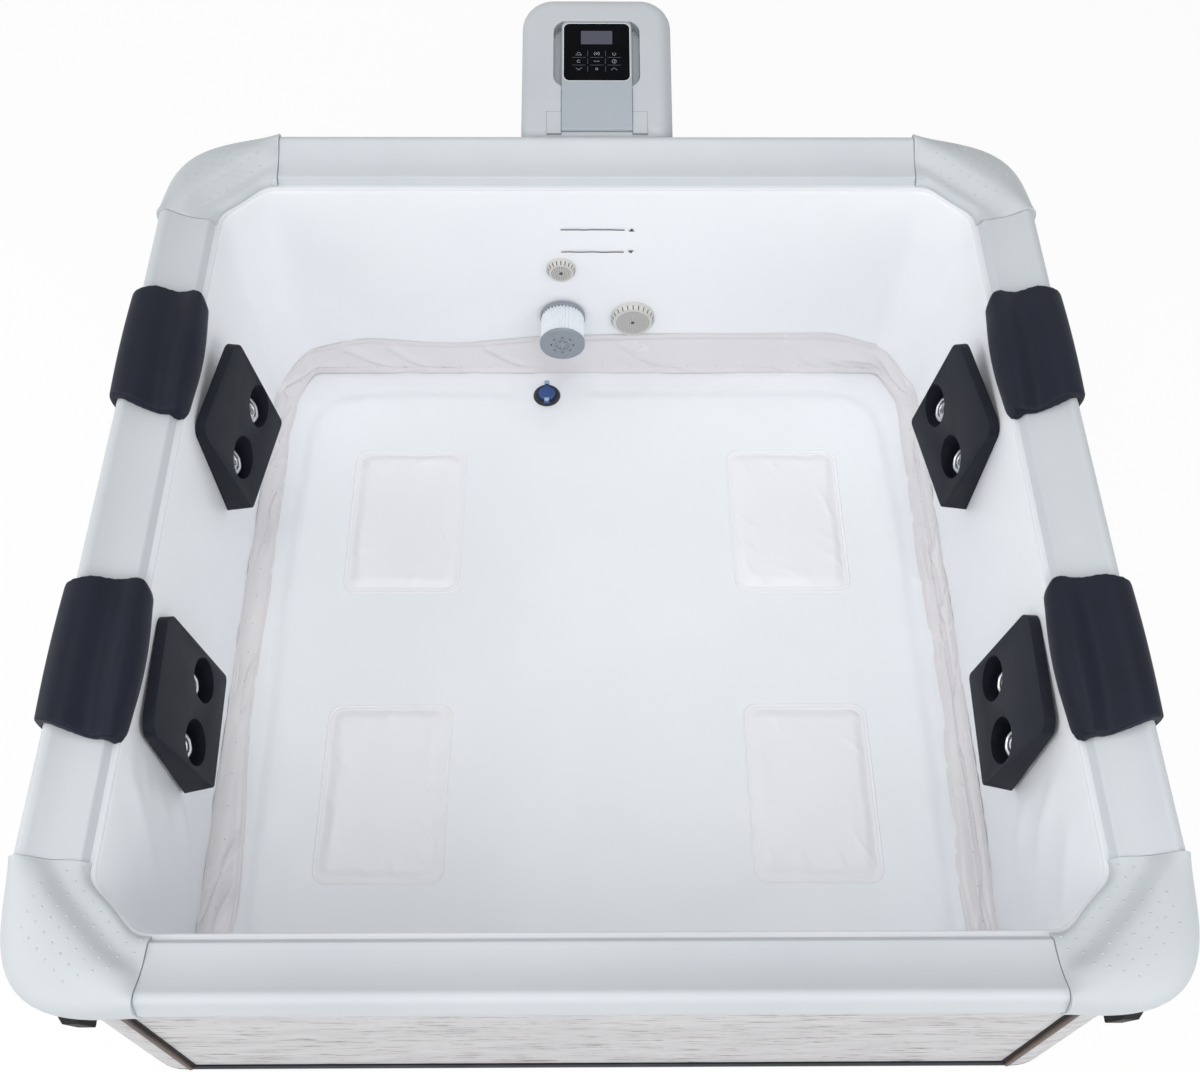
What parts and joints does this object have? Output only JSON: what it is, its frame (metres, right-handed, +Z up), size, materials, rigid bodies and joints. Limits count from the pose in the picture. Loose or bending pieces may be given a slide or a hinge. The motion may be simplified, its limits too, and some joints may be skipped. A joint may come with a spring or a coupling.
{
  "type": "portable hot tub",
  "caption": "Square portable hot tub with an insulated wall, soft liner, rim headrests, wall massage pads with jets, a filter and a control box with a tilting panel.",
  "frame": {"origin": "middle of the tub's underside, on the ground; the control box stands behind it", "axes": "+Y to the control box, +X to the right seen from the front, +Z up"},
  "size_m": [1.8742, 2.2629, 0.7353],
  "materials": {
    "rim_plastic": "satin",
    "cap_plastic": "satin",
    "wall_board": "printed wood grain",
    "trim_brown": "matte",
    "seal_black": "matte",
    "liner_vinyl": "smooth vinyl",
    "skirt_vinyl": "smooth vinyl",
    "mat_foam": "matte",
    "headrest_skin": "smooth moulded foam",
    "pad_foam": "matte foam",
    "jet_plastic": "satin",
    "jet_chrome": "plated",
    "pipe_plastic": "matte",
    "grille_plastic": "matte",
    "filter_pleats": "pleated paper",
    "filter_cap": "satin",
    "drain_black": "matte",
    "drain_blue": "glossy",
    "box_plastic": "satin",
    "display_black": "glossy",
    "pin_steel": "turned",
    "pump_plastic": "matte",
    "heater_metal": "satin",
    "board_green": "matte",
    "clip_black": "matte"
  },
  "bodies": {
    "tub": {"rim_rail_front": "rim_plastic", "wall_panel_front": "wall_board", "rim_rail_back": "rim_plastic", "wall_panel_back": "wall_board", "rim_rail_left": "rim_plastic", "wall_panel_left": "wall_board", "rim_rail_right": "rim_plastic", "wall_panel_right": "wall_board", "rim_corner_front_left": "cap_plastic", "corner_post_front_left": "wall_board", "massage_pad_front_left": "pad_foam", "rim_corner_front_right": "cap_plastic", "corner_post_front_right": "wall_board", "massage_pad_front_right": "pad_foam", "rim_corner_back_left": "cap_plastic", "corner_post_back_left": "wall_board", "massage_pad_back_left": "pad_foam", "rim_corner_back_right": "cap_plastic", "corner_post_back_right": "wall_board", "massage_pad_back_right": "pad_foam", "edge_trims": "trim_brown", "edge_seals": "seal_black", "liner_wall": "liner_vinyl", "liner_floor": "liner_vinyl", "liner_skirt": "skirt_vinyl", "seat_pads": "liner_vinyl", "base_mat": "mat_foam", "jet_bodies": "jet_plastic", "jet_pipes": "pipe_plastic", "wall_fittings": "pipe_plastic", "union_nuts": "pipe_plastic", "return_grille": "grille_plastic", "suction_grille": "grille_plastic", "drain_body": "drain_black", "box_base": "box_plastic", "box_cover": "box_plastic", "hinge_pin": "pin_steel", "hinge_covers": "box_plastic", "filter_pump": "pump_plastic", "massage_pump": "pump_plastic", "heater": "heater_metal", "control_board": "board_green", "cover_clips": "clip_black"},
    "headrest_front_left": {"headrest_front_left": "headrest_skin"},
    "headrest_front_right": {"headrest_front_right": "headrest_skin"},
    "headrest_back_left": {"headrest_back_left": "headrest_skin"},
    "headrest_back_right": {"headrest_back_right": "headrest_skin"},
    "jet_nozzle_left_1": {"jet_nozzle_left_1": "jet_chrome"},
    "jet_nozzle_left_2": {"jet_nozzle_left_2": "jet_chrome"},
    "jet_nozzle_left_3": {"jet_nozzle_left_3": "jet_chrome"},
    "jet_nozzle_left_4": {"jet_nozzle_left_4": "jet_chrome"},
    "jet_nozzle_right_1": {"jet_nozzle_right_1": "jet_chrome"},
    "jet_nozzle_right_2": {"jet_nozzle_right_2": "jet_chrome"},
    "jet_nozzle_right_3": {"jet_nozzle_right_3": "jet_chrome"},
    "jet_nozzle_right_4": {"jet_nozzle_right_4": "jet_chrome"},
    "panel": {"panel_arm": "box_plastic", "display_glass": "display_black"},
    "drain_lid": {"drain_cap": "drain_blue"},
    "filter": {"filter_cartridge": "filter_pleats", "filter_end_caps": "filter_cap"}
  },
  "joints": [
    {"name": "headrest_slide_front_left", "type": "slide", "parent": "tub", "child": "headrest_front_left", "axis": [0, 1, 0], "range_m": [-0.1, 0.1]},
    {"name": "headrest_slide_front_right", "type": "slide", "parent": "tub", "child": "headrest_front_right", "axis": [0, 1, 0], "range_m": [-0.1, 0.1]},
    {"name": "headrest_slide_back_left", "type": "slide", "parent": "tub", "child": "headrest_back_left", "axis": [0, 1, 0], "range_m": [-0.1, 0.1]},
    {"name": "headrest_slide_back_right", "type": "slide", "parent": "tub", "child": "headrest_back_right", "axis": [0, 1, 0], "range_m": [-0.1, 0.1]},
    {"name": "jet_turn_left_1", "type": "hinge", "parent": "tub", "child": "jet_nozzle_left_1", "pos_m": [-0.8017, -0.386, 0.368], "axis": [1, 0, 0], "range_deg": [0, 90]},
    {"name": "jet_turn_left_2", "type": "hinge", "parent": "tub", "child": "jet_nozzle_left_2", "pos_m": [-0.8017, -0.258, 0.368], "axis": [1, 0, 0], "range_deg": [0, 90]},
    {"name": "jet_turn_left_3", "type": "hinge", "parent": "tub", "child": "jet_nozzle_left_3", "pos_m": [-0.8017, 0.258, 0.368], "axis": [1, 0, 0], "range_deg": [0, 90]},
    {"name": "jet_turn_left_4", "type": "hinge", "parent": "tub", "child": "jet_nozzle_left_4", "pos_m": [-0.8017, 0.386, 0.368], "axis": [1, 0, 0], "range_deg": [0, 90]},
    {"name": "jet_turn_right_1", "type": "hinge", "parent": "tub", "child": "jet_nozzle_right_1", "pos_m": [0.8017, -0.386, 0.368], "axis": [-1, 0, 0], "range_deg": [0, 90]},
    {"name": "jet_turn_right_2", "type": "hinge", "parent": "tub", "child": "jet_nozzle_right_2", "pos_m": [0.8017, -0.258, 0.368], "axis": [-1, 0, 0], "range_deg": [0, 90]},
    {"name": "jet_turn_right_3", "type": "hinge", "parent": "tub", "child": "jet_nozzle_right_3", "pos_m": [0.8017, 0.258, 0.368], "axis": [-1, 0, 0], "range_deg": [0, 90]},
    {"name": "jet_turn_right_4", "type": "hinge", "parent": "tub", "child": "jet_nozzle_right_4", "pos_m": [0.8017, 0.386, 0.368], "axis": [-1, 0, 0], "range_deg": [0, 90]},
    {"name": "panel_tilt", "type": "hinge", "parent": "tub", "child": "panel", "pos_m": [0, 0.96844, 0.65144], "axis": [1, 0, 0], "range_deg": [0, 75]},
    {"name": "drain_cap_flip", "type": "hinge", "parent": "tub", "child": "drain_lid", "pos_m": [-0.125, 0.6877, 0.0216], "axis": [1, 0, 0], "range_deg": [0, 120]},
    {"name": "filter_pull", "type": "slide", "parent": "tub", "child": "filter", "axis": [0, -1, 0], "range_m": [0, 0.15]}
  ]
}
